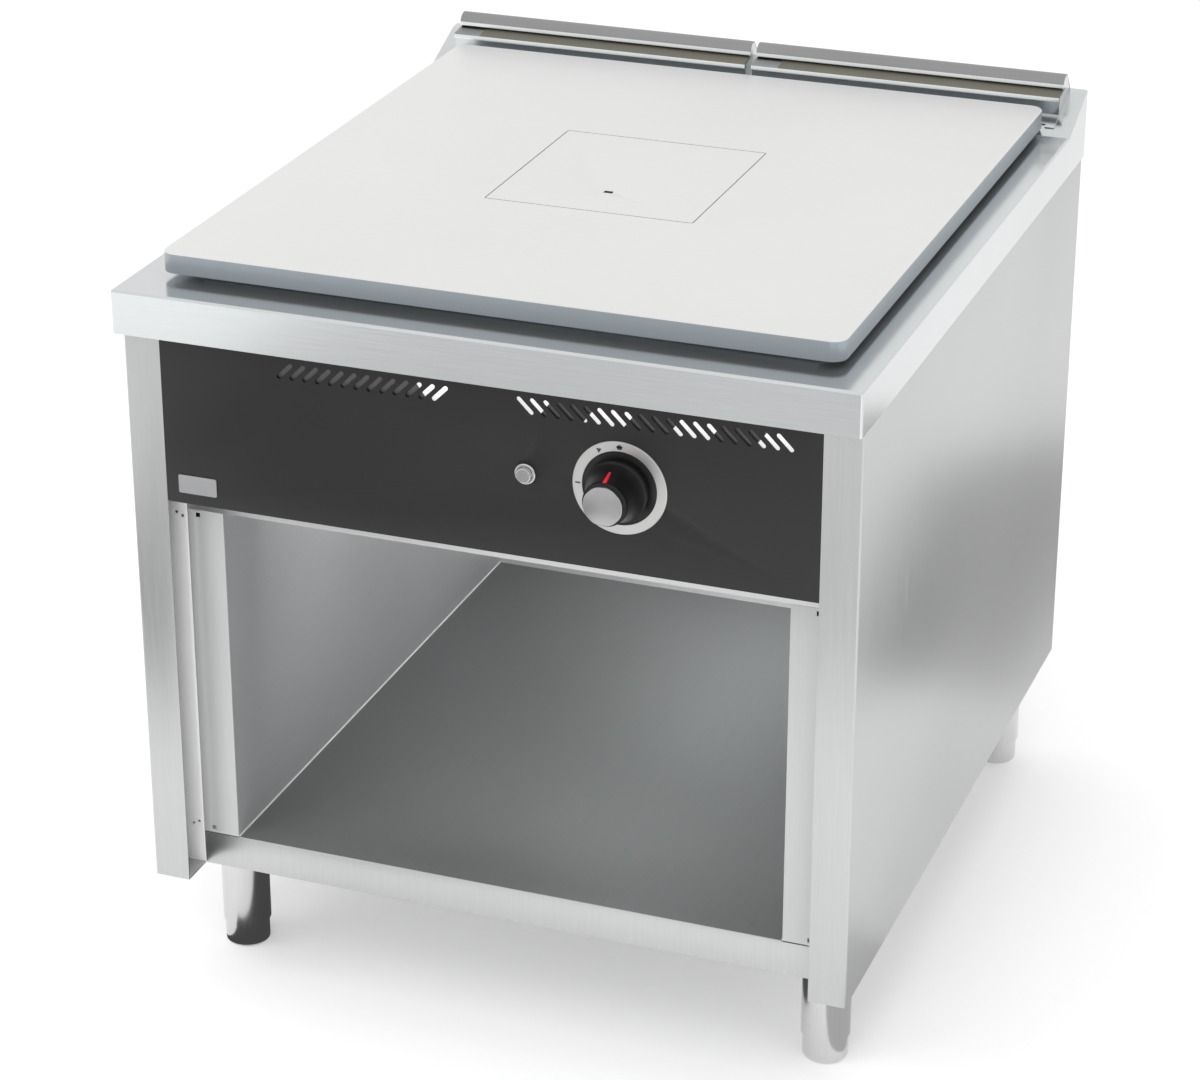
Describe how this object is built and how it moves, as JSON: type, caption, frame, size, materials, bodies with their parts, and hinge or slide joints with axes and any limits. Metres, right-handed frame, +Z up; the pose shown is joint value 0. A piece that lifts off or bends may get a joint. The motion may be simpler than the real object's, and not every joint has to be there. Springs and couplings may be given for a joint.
{
  "type": "solid-top gas range",
  "caption": "Free-standing solid-top gas range: thick square hot plate with lift-out centre plug, control panel with knob, open base cabinet, adjustable legs.",
  "frame": {"origin": "middle of the footprint on the floor, halfway between the knob's front and the rear edge", "axes": "+X to the right of a cook facing the range, +Y to the rear, +Z up"},
  "size_m": [0.8, 0.948, 0.8848],
  "materials": {
    "worktop_steel": "satin brushed",
    "body_steel": "fine brushed",
    "inner_steel": "dull brushed",
    "plate_steel": "machined, ground",
    "cast_iron": "as cast",
    "mild_steel": "heat-resistant grey",
    "galvanised": "galvanised",
    "refractory": "fired, matt",
    "panel_black": "satin black",
    "baffle_black": "matt black",
    "deflector_steel": "bright",
    "brass": "turned",
    "pipe_steel": "passivated",
    "aluminium": "drawn",
    "ceramic": "glazed",
    "rubber_black": "matt",
    "knob_black": "satin moulded",
    "knob_metal": "spun brushed",
    "dial_metal": "satin",
    "pointer_red": "moulded",
    "igniter_metal": "polished",
    "leg_steel": "bright drawn",
    "zinc": "zinc plated"
  },
  "bodies": {
    "cabinet": {"worktop": "worktop_steel", "plate_seat": "worktop_steel", "hot_plate": "plate_steel", "bottom_rail": "body_steel", "header_rail": "body_steel", "cabinet_liner": "inner_steel", "cabinet_ceiling": "inner_steel", "base_channel_front": "galvanised", "base_channel_rear": "galvanised", "back_panel": "galvanised", "back_panel_screws": "zinc", "control_panel": "panel_black", "vent_baffle": "baffle_black", "air_deflector": "deflector_steel", "fire_chamber": "mild_steel", "refractory_lining": "refractory", "burner_body": "cast_iron", "burner_cap": "cast_iron", "mixing_tube": "cast_iron", "injector": "brass", "gas_valve": "brass", "manifold_pipe": "pipe_steel", "gas_inlet": "brass", "pilot_burner": "brass", "pilot_tube": "aluminium", "thermocouple": "mild_steel", "spark_electrode": "ceramic", "ignition_lead": "rubber_black", "igniter_body": "knob_black", "igniter_bezel": "igniter_metal", "dial_ring": "dial_metal", "flue_duct": "galvanised", "flue_base_left": "worktop_steel", "flue_base_right": "worktop_steel", "flue_hoods_left": "worktop_steel", "flue_hoods_right": "worktop_steel", "leg_bolts": "zinc", "side_panel_left": "body_steel", "side_panel_right": "body_steel", "hinge_strip_left": "body_steel", "hinge_strip_right": "body_steel", "front_post_left": "body_steel", "front_post_right": "body_steel", "inner_wall_left": "inner_steel", "inner_wall_right": "inner_steel", "leg_front_left": "leg_steel", "leg_front_right": "leg_steel", "leg_rear_left": "leg_steel", "leg_rear_right": "leg_steel"},
    "target_plug": {"target_plug": "plate_steel"},
    "igniter_button": {"igniter_button": "igniter_metal"},
    "stem_push": {"spring_washer": "zinc"},
    "knob": {"valve_stem": "brass", "knob_skirt": "knob_black", "knob_cap": "knob_metal", "knob_pointer": "pointer_red"},
    "foot_front_left": {"foot_front_left": "leg_steel"},
    "foot_front_right": {"foot_front_right": "leg_steel"},
    "foot_rear_left": {"foot_rear_left": "leg_steel"},
    "foot_rear_right": {"foot_rear_right": "leg_steel"}
  },
  "joints": [
    {"name": "plug_lift", "type": "slide", "parent": "cabinet", "child": "target_plug", "axis": [0, 0, 1], "range_m": [0, 0.15]},
    {"name": "igniter_press", "type": "slide", "parent": "cabinet", "child": "igniter_button", "axis": [0, 1, 0], "range_m": [0, 0.004], "stiffness_N_per_m": 600},
    {"name": "stem_press", "type": "slide", "parent": "cabinet", "child": "stem_push", "axis": [0, 1, 0], "range_m": [0, 0.004], "stiffness_N_per_m": 1500},
    {"name": "knob_turn", "type": "hinge", "parent": "stem_push", "child": "knob", "pos_m": [0.148, -0.442, 0.684], "axis": [0, -1, 0], "range_deg": [0, 180]},
    {"name": "foot_front_left_screw", "type": "slide", "parent": "cabinet", "child": "foot_front_left", "axis": [0, 0, -1], "range_m": [-0.022, 0.025]},
    {"name": "foot_front_right_screw", "type": "slide", "parent": "cabinet", "child": "foot_front_right", "axis": [0, 0, -1], "range_m": [-0.022, 0.025]},
    {"name": "foot_rear_left_screw", "type": "slide", "parent": "cabinet", "child": "foot_rear_left", "axis": [0, 0, -1], "range_m": [-0.022, 0.025]},
    {"name": "foot_rear_right_screw", "type": "slide", "parent": "cabinet", "child": "foot_rear_right", "axis": [0, 0, -1], "range_m": [-0.022, 0.025]}
  ]
}
